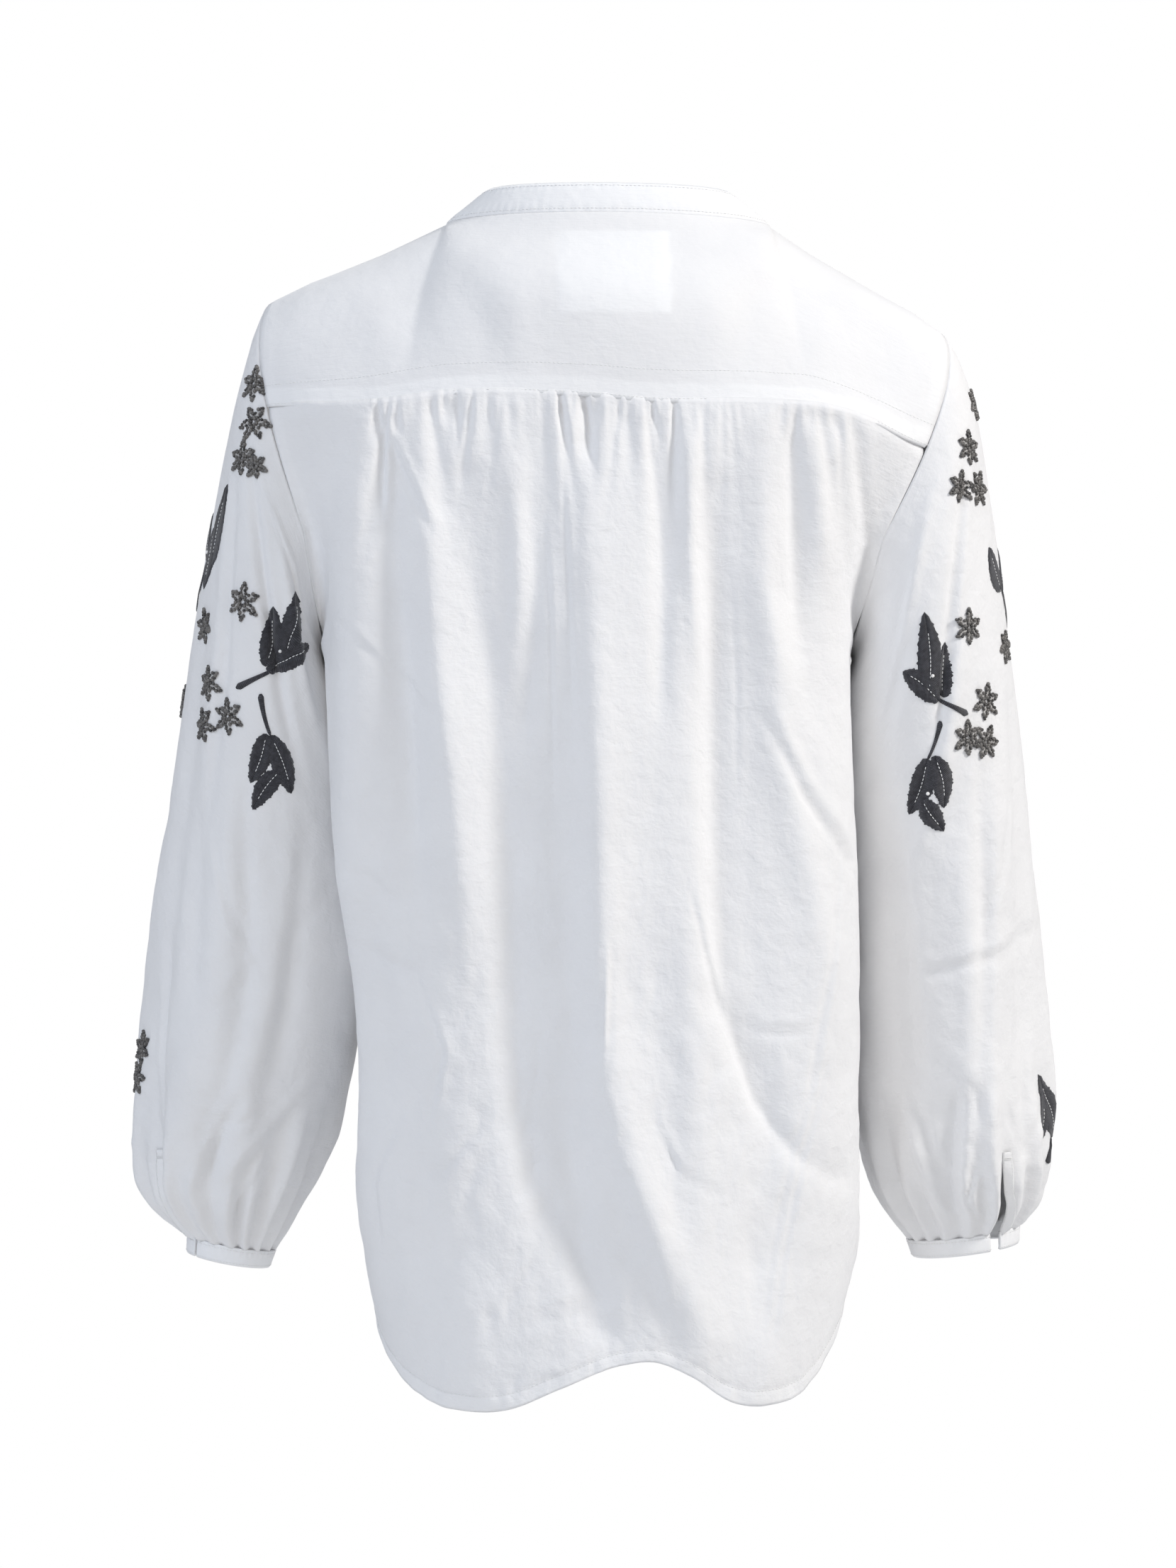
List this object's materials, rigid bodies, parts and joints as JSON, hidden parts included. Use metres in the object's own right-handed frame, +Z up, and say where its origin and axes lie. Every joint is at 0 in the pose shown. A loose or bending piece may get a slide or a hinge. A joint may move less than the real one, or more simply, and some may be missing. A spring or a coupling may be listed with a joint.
{
  "type": "embroidered blouse",
  "caption": "Loose white cotton blouse with a stand-up neckband, back yoke, gathered back, full gathered sleeves and dark leaf embroidery, in its worn form",
  "frame": {"origin": "the middle of the neck opening at the neck seam, where the wearer's neck and shoulders carry the blouse", "axes": "+Z up, the front faces -Y, the wearer's left is +X"},
  "size_m": [0.5912, 0.2416, 0.7569],
  "materials": {
    "white_cotton": "crinkled matt cotton",
    "band_cotton": "doubled matt cotton",
    "label_cloth": "smooth woven label"
  },
  "bodies": {
    "root": {"back_yoke": "white_cotton", "back_body": "white_cotton", "front_body": "white_cotton", "sleeve_left": "white_cotton", "sleeve_right": "white_cotton", "neckband": "band_cotton", "cuff_left": "band_cotton", "cuff_right": "band_cotton", "placket_left": "band_cotton", "placket_right": "band_cotton", "neck_label": "label_cloth"}
  },
  "joints": []
}
